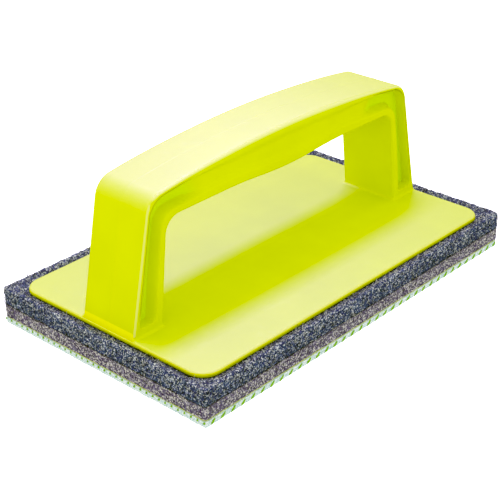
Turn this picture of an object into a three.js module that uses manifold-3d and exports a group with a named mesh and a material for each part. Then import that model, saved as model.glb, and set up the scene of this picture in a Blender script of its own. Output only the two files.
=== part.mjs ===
// Grout float: a moulded holder with an arched handle, and a laminated scrub pad
// that the holder grips with strips of hook tape.
//
// Millimetres, +Z up. The origin is at the middle of the pad's working face, X runs
// along the float and Y across it.

import * as THREE from "three";
import { mergeVertices } from "three/addons/utils/BufferGeometryUtils.js";
import Module from "manifold-3d";

const wasm = await Module();
wasm.setup();

// ---------------------------------------------------------------- driving sizes

// The pad, and its layers from the working face up.
const PAD_LENGTH = 250;
const PAD_WIDTH = 150;
const PAD_CORNER = 1.5;
const LOWER_PLY = 1.6;
const YARN_NET = 0.8;
const UPPER_PLY = 1.3;
const LOWER_FILM = 0.3;
const FOAM = 7.7;
const UPPER_FILM = 0.3;
const COARSE_LAYER = 7.2;
// The yarn net and the bond films end a little inside the pad's edge.
const NET_SETBACK = 0.4;
const LOWER_FILM_SETBACK = 0.6;
const UPPER_FILM_SETBACK = 1.5;

// The hooks stand this far into the nap of the pad, which is left clear here.
const HOOK_GAP = 0.3;

// The plate of the holder, and how far the pad stands out beyond it all round.
const PLATE_MARGIN = 7;
const PLATE_CORNER = 11;
const PLATE_THICKNESS = 2.6;
const PLATE_EDGE_RADIUS = 1.1;

// The shallow pocket under the plate, and the hook tape glued into it.
const POCKET_RIM = 7;
const TAPE_THICKNESS = 0.6;
const ADHESIVE_THICKNESS = 0.2;
const TAPE_CLEARANCE = 1.5;
const TAPE_SPACING = 4;
const TAPE_CORNER = 4;
const TAPES = ["left", "centre", "right"];

// The handle, with heights taken from the underside of the plate.
const HANDLE_WIDTH = 38;
const HANDLE_HEIGHT = 82.8;
const HANDLE_EDGE_RADIUS = 2;
const CROWN_RADIUS = 668;
const FOOT_INSET = 0.1;
const FOOT_LENGTH = 21;
const OUTER_LEAN = 0.203;
const INNER_LEAN = 0.1;
const OUTER_CORNER = 12;
const INNER_CORNER = 10;
const GRIP_DEPTH = 21.8;
const PALM_SWELL = 2.1;
const PALM_SWELL_LENGTH = 92;

// The recess in each side of the handle, which leaves a web between two flanges.
const OUTER_FLANGE = 3.1;
const CROWN_FLANGE = 4;
const INNER_FLANGE = 5;
const RECESS_FLOOR = 8;
const POST_WEB = 26;
const GRIP_RECESS_DEPTH = 2;
const POST_RECESS_LENGTH = 34;

// How finely round stretches are divided.
const ARC_STEPS = 6;
const CROWN_STEPS = 14;
const SWELL_STEPS = 10;
const EDGE_STEPS = 3;

// ---------------------------------------------------------------- sizes that follow

const LAYERS_BELOW_FOAM = LOWER_PLY + YARN_NET + UPPER_PLY + LOWER_FILM;
const PAD_HEIGHT = LAYERS_BELOW_FOAM + FOAM + UPPER_FILM + COARSE_LAYER;
const PLATE_LENGTH = PAD_LENGTH - 2 * PLATE_MARGIN;
const PLATE_WIDTH = PAD_WIDTH - 2 * PLATE_MARGIN;
const POCKET_DEPTH = TAPE_THICKNESS + ADHESIVE_THICKNESS;
const POCKET_LENGTH = PLATE_LENGTH - 2 * POCKET_RIM;
const POCKET_WIDTH = PLATE_WIDTH - 2 * POCKET_RIM;
const POCKET_CORNER = Math.max(PLATE_CORNER - POCKET_RIM, 1);
const FOOT_OUTER = PLATE_LENGTH / 2 - FOOT_INSET;
const FOOT_INNER = FOOT_OUTER - FOOT_LENGTH;
const UNDERSIDE = HANDLE_HEIGHT - GRIP_DEPTH;
const POST_RECESS_DEPTH = (HANDLE_WIDTH - POST_WEB) / 2;

// ---------------------------------------------------------------- solids

// A closed geometry with its shared corners merged, as a solid that can be cut.
function toSolid(geometry) {
  const bare = geometry.clone();
  bare.deleteAttribute("normal");
  bare.deleteAttribute("uv");
  const merged = mergeVertices(bare, 1e-4);
  return new wasm.Manifold(
    new wasm.Mesh({
      numProp: 3,
      vertProperties: new Float32Array(merged.attributes.position.array),
      triVerts: new Uint32Array(merged.index.array),
    }),
  );
}

function toGeometry(solid) {
  const mesh = solid.getMesh();
  const geometry = new THREE.BufferGeometry();
  geometry.setAttribute("position", new THREE.BufferAttribute(mesh.vertProperties, 3));
  geometry.setIndex(new THREE.BufferAttribute(mesh.triVerts, 1));
  geometry.computeVertexNormals();
  return geometry;
}

// ---------------------------------------------------------------- outlines

// A closed outline through the given corners, each rounded by its own radius. The
// radius is limited to what the shorter side next to the corner can hold.
function roundedOutline(corners) {
  const shape = new THREE.Shape();
  const count = corners.length;
  corners.forEach((corner, i) => {
    const at = new THREE.Vector2(corner.x, corner.y);
    const radius = corner.radius ?? 0;
    if (radius === 0) {
      if (i === 0) shape.moveTo(at.x, at.y);
      else shape.lineTo(at.x, at.y);
      return;
    }
    const before = corners[(i + count - 1) % count];
    const after = corners[(i + 1) % count];
    const back = new THREE.Vector2(before.x, before.y).sub(at);
    const ahead = new THREE.Vector2(after.x, after.y).sub(at);
    const shorter = Math.min(back.length(), ahead.length());
    back.normalize();
    ahead.normalize();
    const half = Math.acos(THREE.MathUtils.clamp(back.dot(ahead), -1, 1)) / 2;
    const reach = Math.min(radius / Math.tan(half), 0.48 * shorter);
    const held = reach * Math.tan(half);
    const start = at.clone().addScaledVector(back, reach);
    const end = at.clone().addScaledVector(ahead, reach);
    const centre = back.clone().add(ahead).normalize();
    centre.multiplyScalar(held / Math.sin(half)).add(at);
    const from = Math.atan2(start.y - centre.y, start.x - centre.x);
    const to = Math.atan2(end.y - centre.y, end.x - centre.x);
    const turnsLeft = back.x * ahead.y - back.y * ahead.x < 0;
    if (i === 0) shape.moveTo(start.x, start.y);
    else shape.lineTo(start.x, start.y);
    shape.absarc(centre.x, centre.y, held, from, to, !turnsLeft);
  });
  shape.closePath();
  return shape;
}

function rectangle(length, width, radius) {
  const [x, y] = [length / 2, width / 2];
  return roundedOutline([
    { x: -x, y: -y, radius },
    { x, y: -y, radius },
    { x, y, radius },
    { x: -x, y, radius },
  ]);
}

// ---------------------------------------------------------------- plates and layers

// A flat layer with upright sides, from height bottom to bottom + thickness.
function layer(length, width, corner, bottom, thickness) {
  const geometry = new THREE.ExtrudeGeometry(rectangle(length, width, corner), {
    depth: thickness,
    bevelEnabled: false,
    curveSegments: ARC_STEPS,
  });
  geometry.translate(0, 0, bottom);
  return geometry;
}

// The plate: its upper edge is rounded all round and its lower edge is square, so a
// slab with both edges rounded is made twice as thick and cut at half its height.
function plateSolid() {
  const straight = 2 * (PLATE_THICKNESS - PLATE_EDGE_RADIUS);
  const slab = new THREE.ExtrudeGeometry(
    rectangle(PLATE_LENGTH, PLATE_WIDTH, PLATE_CORNER),
    {
      depth: straight,
      bevelEnabled: true,
      bevelThickness: PLATE_EDGE_RADIUS,
      bevelSize: PLATE_EDGE_RADIUS,
      bevelOffset: -PLATE_EDGE_RADIUS,
      bevelSegments: EDGE_STEPS,
      curveSegments: ARC_STEPS,
    },
  );
  slab.translate(0, 0, -straight / 2);
  return toSolid(slab).subtract(belowPlate());
}

// Everything under the plate's underside, as a block to cut away.
function belowPlate() {
  const side = 2 * (PLATE_LENGTH + PLATE_WIDTH);
  const block = new THREE.BoxGeometry(side, side, HANDLE_HEIGHT);
  block.translate(0, 0, -HANDLE_HEIGHT / 2);
  return toSolid(block);
}

function pocketSolid() {
  return toSolid(
    layer(POCKET_LENGTH, POCKET_WIDTH, POCKET_CORNER, -POCKET_DEPTH, 2 * POCKET_DEPTH),
  );
}

// ---------------------------------------------------------------- handle

// Height of the crown, a shallow arc over the whole handle, at a place along it.
function crownHeight(x) {
  return HANDLE_HEIGHT - (x * x) / (2 * CROWN_RADIUS);
}

// Height of the grip's underside, which swells down a little into the palm.
function undersideHeight(x) {
  const share = Math.min(Math.abs(x) / (PALM_SWELL_LENGTH / 2), 1);
  return UNDERSIDE - (PALM_SWELL * (1 + Math.cos(Math.PI * share))) / 2;
}

// Where a leaning post's face, at foot on the plate, meets the crown lowered by drop.
function cornerUnderCrown(foot, lean, drop) {
  let x = foot;
  for (let i = 0; i < 12; i++) x = foot - lean * (crownHeight(x) - drop);
  return x;
}

// Points along the crown, lowered by drop, from one corner to the other. The corners
// themselves are rounded.
function crownPoints(foot, drop, radius) {
  const end = cornerUnderCrown(foot, OUTER_LEAN, drop);
  const points = [];
  for (let i = 0; i <= CROWN_STEPS; i++) {
    const x = end * (1 - (2 * i) / CROWN_STEPS);
    const rounded = i === 0 || i === CROWN_STEPS ? radius : 0;
    points.push({ x, y: crownHeight(x) - drop, radius: rounded });
  }
  return points;
}

// Points along the underside, raised by rise, between two posts whose faces stand
// further out by spread. The corners are rounded.
function undersidePoints(spread, rise, radius) {
  const end = FOOT_INNER + spread - INNER_LEAN * (UNDERSIDE + rise);
  const points = [{ x: -end, y: UNDERSIDE + rise, radius }];
  const swellEnd = Math.min(PALM_SWELL_LENGTH / 2, 0.8 * end);
  for (let i = 0; i <= SWELL_STEPS; i++) {
    const x = swellEnd * ((2 * i) / SWELL_STEPS - 1);
    points.push({ x, y: undersideHeight(x) + rise });
  }
  points.push({ x: end, y: UNDERSIDE + rise, radius });
  return points;
}

// The handle seen from the side: an arch whose feet stand on the plate's underside.
function handleOutline() {
  return roundedOutline([
    { x: FOOT_OUTER, y: 0 },
    ...crownPoints(FOOT_OUTER, 0, OUTER_CORNER),
    { x: -FOOT_OUTER, y: 0 },
    { x: -FOOT_INNER, y: 0 },
    ...undersidePoints(0, 0, INNER_CORNER),
    { x: FOOT_INNER, y: 0 },
  ]);
}

// The recess seen from the side: the arch less its flanges, closed above the plate.
function recessOutline() {
  const outer = FOOT_OUTER - OUTER_FLANGE;
  const inner = FOOT_INNER + INNER_FLANGE;
  const outerAtFloor = outer - OUTER_LEAN * RECESS_FLOOR;
  const innerAtFloor = inner - INNER_LEAN * RECESS_FLOOR;
  const endRadius = 0.4 * (outerAtFloor - innerAtFloor);
  return roundedOutline([
    { x: outerAtFloor, y: RECESS_FLOOR, radius: endRadius },
    ...crownPoints(outer, CROWN_FLANGE, OUTER_CORNER - OUTER_FLANGE),
    { x: -outerAtFloor, y: RECESS_FLOOR, radius: endRadius },
    { x: -innerAtFloor, y: RECESS_FLOOR, radius: endRadius },
    ...undersidePoints(INNER_FLANGE, INNER_FLANGE, INNER_CORNER + INNER_FLANGE),
    { x: innerAtFloor, y: RECESS_FLOOR, radius: endRadius },
  ]);
}

// An outline drawn in the X and Z plane, carried across the float from y = from to
// y = to. Its edges are rounded where edge is above zero.
function across(outline, from, to, edge = 0) {
  const geometry = new THREE.ExtrudeGeometry(outline, {
    depth: to - from - 2 * edge,
    bevelEnabled: edge > 0,
    bevelThickness: edge,
    bevelSize: edge,
    bevelOffset: -edge,
    bevelSegments: EDGE_STEPS,
    curveSegments: ARC_STEPS,
  });
  geometry.rotateX(Math.PI / 2);
  geometry.translate(0, to - edge, 0);
  return toSolid(geometry);
}

// The recess on one side: shallow all along, and deep in the two posts.
function recessSolid(side) {
  const face = HANDLE_WIDTH / 2;
  const outline = recessOutline();
  const beyond = face + 1;
  const span = (depth) => {
    const [near, far] = [side * beyond, side * (face - depth)];
    return across(outline, Math.min(near, far), Math.max(near, far));
  };
  const deep = span(POST_RECESS_DEPTH);
  const grip = new THREE.BoxGeometry(
    2 * (FOOT_OUTER - POST_RECESS_LENGTH),
    2 * HANDLE_WIDTH,
    3 * HANDLE_HEIGHT,
  );
  return deep.subtract(toSolid(grip)).add(span(GRIP_RECESS_DEPTH));
}

function handleSolid() {
  const half = HANDLE_WIDTH / 2;
  const arch = across(handleOutline(), -half, half, HANDLE_EDGE_RADIUS);
  return arch.subtract(recessSolid(-1)).subtract(recessSolid(1));
}

// The plate and the handle are one moulding.
function holderGeometry() {
  const whole = plateSolid().add(handleSolid());
  return toGeometry(whole.subtract(pocketSolid()));
}

// ---------------------------------------------------------------- finishes

function plastic(color) {
  return new THREE.MeshStandardMaterial({ color, roughness: 0.42, metalness: 0 });
}

function soft(color) {
  return new THREE.MeshStandardMaterial({ color, roughness: 0.95, metalness: 0 });
}

const LIME_PLASTIC = plastic(0xd7df00);
const HOOK_NYLON = plastic(0x1c1d20);
const ADHESIVE = plastic(0xe9e4c8);
const DARK_FIBRE = soft(0x535a6b);
const BOND = plastic(0xc9cf5a);
const GREY_FOAM = soft(0x807e7f);
const WHITE_CLOTH = soft(0xf0f6ee);
const LIME_YARN = soft(0x96c828);

// ---------------------------------------------------------------- assembly

function piece(name, geometry, material) {
  const mesh = new THREE.Mesh(geometry, material);
  mesh.name = name;
  return mesh;
}

// The pad: flat layers laid one on another, each starting where the last one ends.
function pad() {
  const group = new THREE.Group();
  const stack = [
    ["cloth_lower_ply", LOWER_PLY, 0, WHITE_CLOTH],
    ["lime_yarn_net", YARN_NET, NET_SETBACK, LIME_YARN],
    ["cloth_upper_ply", UPPER_PLY, 0, WHITE_CLOTH],
    ["lower_bond_film", LOWER_FILM, LOWER_FILM_SETBACK, BOND],
    ["grey_foam_layer", FOAM, 0, GREY_FOAM],
    ["upper_bond_film", UPPER_FILM, UPPER_FILM_SETBACK, BOND],
    ["coarse_fibre_layer", COARSE_LAYER, 0, DARK_FIBRE],
  ];
  let height = 0;
  for (const [name, thickness, setback, material] of stack) {
    const [length, width] = [PAD_LENGTH - 2 * setback, PAD_WIDTH - 2 * setback];
    const geometry = layer(length, width, PAD_CORNER, height, thickness);
    group.add(piece(name, geometry, material));
    height += thickness;
  }
  return group;
}

// The strips of hook tape, side by side in the pocket, each on its own adhesive.
function hookTapes() {
  const group = new THREE.Group();
  const length = POCKET_LENGTH - 2 * TAPE_CLEARANCE;
  const room = POCKET_WIDTH - 2 * TAPE_CLEARANCE - (TAPES.length - 1) * TAPE_SPACING;
  const width = room / TAPES.length;
  TAPES.forEach((place, i) => {
    const y = (i - (TAPES.length - 1) / 2) * (width + TAPE_SPACING);
    const tape = layer(length, width, TAPE_CORNER, 0, TAPE_THICKNESS);
    const glue = layer(length, width, TAPE_CORNER, TAPE_THICKNESS, ADHESIVE_THICKNESS);
    for (const [kind, geometry, material] of [
      ["hook_tape_", tape, HOOK_NYLON],
      ["tape_adhesive_", glue, ADHESIVE],
    ]) {
      geometry.translate(0, y, 0);
      group.add(piece(kind + place, geometry, material));
    }
  });
  return group;
}

function holder() {
  const group = new THREE.Group();
  group.position.z = PAD_HEIGHT + HOOK_GAP;
  group.add(piece("holder_moulding", holderGeometry(), LIME_PLASTIC));
  group.add(hookTapes());
  return group;
}

const group = new THREE.Group();
group.add(pad());
group.add(holder());

export default group;
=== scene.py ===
# %% [markdown]
# # A grout float, made as surfaces and finishes
#
# The float has two halves. The holder is one lime plastic moulding: a flat plate
# with an arched handle. The pad under it is a sandwich of coarse fibre, foam and a
# white scrub cloth that is stitched with lime yarn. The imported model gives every
# size and place, so this lesson starts by loading it and measuring it.

import itertools
import math

import bpy
import numpy as np
from mathutils import Matrix, Vector


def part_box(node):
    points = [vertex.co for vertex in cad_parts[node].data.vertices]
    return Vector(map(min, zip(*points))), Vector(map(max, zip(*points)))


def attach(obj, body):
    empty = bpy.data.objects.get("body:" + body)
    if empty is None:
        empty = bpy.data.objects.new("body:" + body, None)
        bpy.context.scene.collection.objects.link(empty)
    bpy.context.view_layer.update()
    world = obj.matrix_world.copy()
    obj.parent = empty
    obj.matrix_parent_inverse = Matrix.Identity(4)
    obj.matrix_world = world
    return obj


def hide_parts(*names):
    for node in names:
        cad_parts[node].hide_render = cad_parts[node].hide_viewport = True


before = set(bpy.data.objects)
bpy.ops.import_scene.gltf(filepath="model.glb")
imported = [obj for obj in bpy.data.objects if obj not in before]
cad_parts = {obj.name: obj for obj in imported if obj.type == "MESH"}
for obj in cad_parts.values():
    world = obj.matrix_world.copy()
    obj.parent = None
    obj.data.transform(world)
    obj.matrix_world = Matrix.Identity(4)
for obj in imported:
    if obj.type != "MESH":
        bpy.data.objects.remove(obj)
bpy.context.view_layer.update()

# %% Measure the frame
HOLDER_LOW, HOLDER_HIGH = (np.array(c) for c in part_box("holder_moulding"))
COARSE_LOW, COARSE_HIGH = (np.array(c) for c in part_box("coarse_fibre_layer"))
FOAM_LOW, FOAM_HIGH = (np.array(c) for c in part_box("grey_foam_layer"))
CLOTH_HIGH = np.array(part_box("cloth_upper_ply")[1])
CLOTH_LOW, PLY_JOIN = (np.array(c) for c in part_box("cloth_lower_ply"))
MM = 0.001
PLATE_BASE = HOLDER_LOW[2]
HOLDER_HEIGHT = HOLDER_HIGH[2] - PLATE_BASE
PLATE_HALF = HOLDER_HIGH[:2]
PAD_HALF = COARSE_HIGH[:2]
print("plate", 2 * PLATE_HALF / MM, "pad", 2 * PAD_HALF / MM, "mm")


# %% [markdown]
# ## Putting numpy surfaces into Blender
#
# Every piece here is worked out as whole arrays of points. A small helper puts the
# arrays into a mesh with foreach_set, which is far quicker than adding vertices one
# by one and keeps the maths in one place.

# %% Mesh helpers
def put_mesh(name, points, face_sets, smooth=True):
    """A mesh object from points (n, 3) and a list of face arrays, each (faces, corners)."""
    mesh = bpy.data.meshes.new(name)
    corners = np.concatenate([f.ravel() for f in face_sets]).astype(np.int32)
    sizes = np.concatenate([np.full(len(f), f.shape[1]) for f in face_sets])
    starts = np.concatenate([[0], np.cumsum(sizes)[:-1]]).astype(np.int32)
    mesh.vertices.add(len(points))
    mesh.vertices.foreach_set("co", np.asarray(points, np.float32).ravel())
    mesh.loops.add(len(corners))
    mesh.loops.foreach_set("vertex_index", corners)
    mesh.polygons.add(len(sizes))
    mesh.polygons.foreach_set("loop_start", starts)
    mesh.polygons.foreach_set("use_smooth", np.full(len(sizes), smooth))
    mesh.update(calc_edges=True)
    mesh.validate()
    piece = bpy.data.objects.new(name, mesh)
    bpy.context.scene.collection.objects.link(piece)
    print(name, len(points), "points,", len(sizes), "faces")
    return piece


def ring_faces(rings, around, first=0):
    """Quads that join each closed ring of points to the next one."""
    row, col = np.meshgrid(np.arange(rings - 1), np.arange(around), indexing="ij")
    after = (col + 1) % around
    a = first + row * around
    quads = np.stack([a + col, a + after, a + around + after, a + around + col], -1)
    return quads.reshape(-1, 4)


def carried_rings(name, rings):
    """A closed piece from rings (rings, around, 3), with a flat cap on each end."""
    count, around = rings.shape[:2]
    first_cap = np.arange(around)[None, ::-1]
    last_cap = (count - 1) * around + np.arange(around)[None]
    faces = [ring_faces(count, around), first_cap, last_cap]
    return put_mesh(name, rings.reshape(-1, 3), faces)


def ease(t):
    """A smooth step: 0 below 0, 1 above 1, and 3t2 - 2t3 between."""
    t = np.clip(t, 0, 1)
    return t * t * (3 - 2 * t)


def between(first, second, share):
    """The first value where share is 0, the second where it is 1, straight between."""
    return first + (second - first) * share


# %% [markdown]
# ## Noise for surfaces that are never quite even
#
# Fibre, foam and cloth have no straight faces. This is value noise: a random number
# at each corner of a lattice, blended smoothly in between. A Displace modifier could
# do the same to a mesh, but a formula lets each layer add up several sizes of lumps. It
# depends only on the point and the seed, so each run gives the same surface.

# %% Noise
def lattice_value(cell, seed):
    """A number from 0 to 1 for each whole-numbered cell (..., 3), mixed from its digits."""
    x, y, z = (cell[..., i].astype(np.uint64) for i in range(3))
    key = x * np.uint64(73856093) ^ y * np.uint64(19349663) ^ z * np.uint64(83492791)
    key = (key + np.uint64(seed * 7919)) * np.uint64(2654435761)
    key ^= key >> np.uint64(15)
    key *= np.uint64(2246822519)
    key ^= key >> np.uint64(13)
    return (key % np.uint64(65536)).astype(float) / 65535


def noise(points, size, seed):
    """Value noise from -1 to 1, with lattice cells of the given size in metres."""
    place = points / size + 4096
    cell = np.floor(place).astype(np.int64)
    share = place - cell
    share = share * share * (3 - 2 * share)
    total = np.zeros(points.shape[:-1])
    for corner in itertools.product((0, 1), repeat=3):
        weight = np.prod(np.where(np.array(corner), share, 1 - share), axis=-1)
        total += weight * lattice_value(cell + np.array(corner), seed)
    return 2 * total - 1


# %% [markdown]
# ## The camera
#
# A long lens from the front left, a little above the float, which keeps the plate's
# parallel edges nearly parallel. The camera could be turned with Euler angles, but three
# directions are easier to reason about: the three rows that are put into its matrix are
# its right, up and backward directions.

# %% Camera
CAMERA_AZIMUTH = math.radians(-47.5)
CAMERA_ELEVATION = math.radians(27.84)
CAMERA_ROLL = math.radians(-0.657)
CAMERA_AIM = Vector((-0.0048, 0.0054, 0.0203))
CAMERA_DISTANCE = 0.7464
LENS, SENSOR = 95.75, 36


def camera_axes(azimuth, elevation, roll):
    """Right, up and backward, for a camera that looks down at the aim point."""
    level = math.cos(elevation)
    back = Vector((math.sin(azimuth) * level, -math.cos(azimuth) * level, math.sin(elevation)))
    right = Vector((0, 0, 1)).cross(back).normalized()
    up = back.cross(right)
    turned_right = math.cos(roll) * right + math.sin(roll) * up
    turned_up = -math.sin(roll) * right + math.cos(roll) * up
    return turned_right, turned_up, back


right, up, back = camera_axes(CAMERA_AZIMUTH, CAMERA_ELEVATION, CAMERA_ROLL)
camera = bpy.data.objects.new("camera", bpy.data.cameras.new("camera"))
bpy.context.scene.collection.objects.link(camera)
camera.data.lens = LENS
camera.data.sensor_width = SENSOR
camera.matrix_world = Matrix.Translation(CAMERA_AIM + CAMERA_DISTANCE * back) @ Matrix(
    (right, up, back)
).transposed().to_4x4()
bpy.context.scene.camera = camera
print("camera at", tuple(round(c, 4) for c in camera.matrix_world.translation))


# %% [markdown]
# ## The handle's outline
#
# Seen from the side the handle is an arch. Its outer line is a leaning post, a round
# corner and a long shallow crown. Its inner line is a post that leans less, a tighter
# corner and an underside that swells into the palm. A bevelled curve could draw one of
# these lines, but not two that lean differently. So both are worked out, and cut into
# the same number of stations: each outer point has an inner partner across the wall.

# %% Sizes of the handle
HANDLE_HALF_WIDTH = 19 * MM
CROWN_RADIUS = 668 * MM
OUTER_FOOT = PLATE_HALF[0] - 0.1 * MM
INNER_FOOT = OUTER_FOOT - 21 * MM
OUTER_LEAN, INNER_LEAN = 0.203, 0.1
OUTER_CORNER, INNER_CORNER = 12 * MM, 10 * MM
UNDERSIDE = HOLDER_HEIGHT - 22.15 * MM
PALM_SWELL, SWELL_HALF_LENGTH = 2.1 * MM, 46 * MM
PLATE_THICKNESS = 2.6 * MM
FOOT_FILLET = 1.8 * MM
FOOT_START = 1.2 * MM


# %% The two lines of the arch
def crown(x):
    """Height of the crown: the top less x squared over twice its radius."""
    return HOLDER_HEIGHT - x * x / (2 * CROWN_RADIUS)


def underside(x):
    """Height of the underside: level, less a raised cosine over the palm."""
    share = np.minimum(np.abs(x) / SWELL_HALF_LENGTH, 1)
    return UNDERSIDE - PALM_SWELL * (1 + np.cos(np.pi * share)) / 2


def outer_corner():
    """Centre and end angles of the arc that touches the leaning post and the crown."""
    lean = math.atan(OUTER_LEAN)
    inward = np.array([math.cos(lean), -math.sin(lean)])
    along = np.array([math.sin(lean), math.cos(lean)])
    crown_centre = np.array([0, HOLDER_HEIGHT - CROWN_RADIUS])
    start = np.array([-OUTER_FOOT, 0]) + OUTER_CORNER * inward - crown_centre
    half = start @ along
    reach = (CROWN_RADIUS - OUTER_CORNER) ** 2 - start @ start + half**2
    centre = start + (math.sqrt(reach) - half) * along + crown_centre
    toward = centre - crown_centre
    return centre, math.pi - lean, math.atan2(toward[1], toward[0])


def arc(centre, radius, angles):
    """Points (angles, 2) on a circle: centre + r (cos a, sin a)."""
    return centre + radius * np.stack([np.cos(angles), np.sin(angles)], -1)


def arch_lines(foot_heights, post_steps, corner_steps, grip_steps):
    """Outer and inner points (stations, 2) in the X and Z plane, foot to foot. The
    stations near the foot are at the given heights, and the rest are evenly spread."""
    centre, low_angle, high_angle = outer_corner()
    turn = np.linspace(0, 1, corner_steps + 1)
    outer_arc = arc(centre, OUTER_CORNER, low_angle + (high_angle - low_angle) * turn)
    inner_lean = math.atan(INNER_LEAN)
    corner_height = UNDERSIDE - INNER_CORNER
    corner_x = -INNER_FOOT + INNER_LEAN * corner_height + INNER_CORNER / math.cos(inner_lean)
    inner_centre = np.array([corner_x, corner_height])
    inner_angles = math.pi - inner_lean + (math.pi / 2 - math.pi + inner_lean) * turn
    inner_arc = arc(inner_centre, INNER_CORNER, inner_angles)
    post_top = outer_arc[0, 1]
    upper = np.linspace(foot_heights[-1], post_top, post_steps + 1)[1:]
    heights = np.concatenate([foot_heights, upper])
    share = ((heights - FOOT_START) / (post_top - FOOT_START))[:, None]
    outer_post_foot = np.array([-OUTER_FOOT + OUTER_LEAN * FOOT_START, FOOT_START])
    inner_post_foot = np.array([-INNER_FOOT + INNER_LEAN * FOOT_START, FOOT_START])
    outer_post = outer_post_foot + share * (outer_arc[0] - outer_post_foot)
    inner_post = inner_post_foot + share * (inner_arc[0] - inner_post_foot)
    along = np.linspace(0, 1, grip_steps + 1)[1:]
    outer_x = outer_arc[-1, 0] * (1 - along)
    inner_x = inner_arc[-1, 0] * (1 - along)
    outer_grip = np.stack([outer_x, crown(outer_x)], -1)
    inner_grip = np.stack([inner_x, underside(inner_x)], -1)
    outer = np.concatenate([outer_post[:-1], outer_arc, outer_grip])
    inner = np.concatenate([inner_post[:-1], inner_arc, inner_grip])
    mirror = np.array([-1, 1])
    return (
        np.concatenate([outer, outer[-2::-1] * mirror]),
        np.concatenate([inner, inner[-2::-1] * mirror]),
    )


# Stations crowd at the foot, where the fillet and the recess's round end are.
RECESS_FLOOR = 8 * MM
FILLET_STATIONS, END_STATIONS = 14, 22
POST_STATIONS, CORNER_STATIONS, GRIP_STATIONS = 26, 18, 46
foot_heights = np.concatenate([
    np.linspace(FOOT_START, RECESS_FLOOR - 1 * MM, FILLET_STATIONS),
    np.linspace(RECESS_FLOOR - 0.2 * MM, RECESS_FLOOR + 4 * MM, END_STATIONS),
])
outer_line, inner_line = arch_lines(
    foot_heights, POST_STATIONS, CORNER_STATIONS, GRIP_STATIONS
)
print("arch stations", len(outer_line), "crown", outer_line[:, 1].max() / MM, "mm")


# %% [markdown]
# ## The handle's section
#
# Across the wall the handle is a rounded bar with a recess in each side. The recess is
# deep and crisp in the posts, which leaves a web between two flanges, and it shallows
# into a soft hollow along the grip. A fine groove follows the recess's outer rim in
# the posts, and a hair-thin parting line runs over the crown, where the two halves of
# the mould met. Cutting these with Booleans would leave thin, uneven faces along every
# rim. All of them are functions of the station instead, so one grid of points holds the
# whole handle, and its columns sit on the recess's edges, which keeps the walls clean.

# %% The section at every station
EDGE_RADIUS, GRIP_EDGE_RADIUS = 1.9 * MM, 2.8 * MM
INNER_EDGE_RADIUS = 1.4 * MM
POST_RECESS, GRIP_RECESS = 6 * MM, 1.6 * MM
OUTER_FLANGE = 3.1 * MM
OUTER_WALL, GRIP_OUTER_WALL = 0.7 * MM, 5 * MM
INNER_FLANGE = 4.4 * MM
INNER_WALL, GRIP_INNER_WALL = 3.6 * MM, 4.5 * MM
RECESS_END_ROUND, RECESS_END_WALL = 3 * MM, 1.2 * MM
RIM_GROOVE_WIDTH, RIM_GROOVE_DEPTH, RIM_GROOVE_FADE = 0.9 * MM, 1.5 * MM, 6 * MM
PARTING_LINE, PARTING_REACH = 0.12 * MM, 0.1 * MM
# How far from the middle the post's section starts to turn into the grip's, and over
# what length it does so. The recess has its own pair.
GRIP_FROM, GRIP_OVER = 90 * MM, 56 * MM
SHALLOW_FROM, SHALLOW_OVER = 88 * MM, 22 * MM
# Columns between the seven places where the side changes.
SIDE_COUNTS = (3, 4, 10, 8, 10, 4)


def side_columns(low, high, counts):
    """Columns between neighbouring edges low[i] and high[i], counts[i] to each."""
    blocks = [
        a[:, None] + (b - a)[:, None] * np.linspace(0, 1, n, endpoint=False)
        for a, b, n in zip(low, high, counts)
    ]
    return np.concatenate(blocks + [high[-1][:, None]], axis=1)


def recess_shape(outer, wall):
    """What changes from station to station: the radius of the outer edges, the seven
    places through the wall where the side changes, the recess's depth, the height
    above the recess's lower end, and 0 to 1 for how shallow the recess has become."""
    x, height = np.abs(outer[:, 0]), outer[:, 1]
    grip = ease((GRIP_FROM - x) / GRIP_OVER)
    shallow = ease((SHALLOW_FROM - x) / SHALLOW_OVER)
    rise = np.where(height < UNDERSIDE, height - RECESS_FLOOR, np.inf)
    edge = between(EDGE_RADIUS, GRIP_EDGE_RADIUS, grip)
    depth = between(POST_RECESS, GRIP_RECESS, shallow) * ease(rise / RECESS_END_WALL)
    outer_wall = between(OUTER_WALL, GRIP_OUTER_WALL, grip)
    inner_wall = between(INNER_WALL, GRIP_INNER_WALL, grip)
    start, stop = np.maximum(OUTER_FLANGE, edge + RIM_GROOVE_WIDTH), wall - INNER_FLANGE
    middle, half = (start + stop) / 2, (stop - start) / 2
    round_end = np.clip(rise / RECESS_END_ROUND, 0, 1)
    half = half - RECESS_END_ROUND * (1 - np.sqrt(1 - (1 - round_end) ** 2))
    places = [
        edge,
        middle - half - RIM_GROOVE_WIDTH,
        middle - half,
        middle - half + outer_wall,
        middle + half - inner_wall,
        middle + half,
        wall - INNER_EDGE_RADIUS,
    ]
    return edge, places, depth, rise, shallow


def recessed_side(places, depth, rise, shallow):
    """Depth through the wall and distance from the middle for the handle's side: flat,
    less the recess between two eased walls, less the rim groove, which is a V."""
    side = side_columns(places[:-1], places[1:], SIDE_COUNTS)
    into = ease((side - places[2][:, None]) / (places[3] - places[2] + 1e-9)[:, None])
    out_of = ease((places[5][:, None] - side) / (places[5] - places[4] + 1e-9)[:, None])
    side_y = HANDLE_HALF_WIDTH - depth[:, None] * into * out_of
    rim = 1 - np.abs(2 * (places[2][:, None] - side) / RIM_GROOVE_WIDTH - 1)
    fade = ease((rise - RECESS_END_ROUND) / RIM_GROOVE_FADE)
    rim_depth = RIM_GROOVE_DEPTH * (1 - shallow) * fade
    return side, side_y - rim_depth[:, None] * np.maximum(rim, 0)


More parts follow.
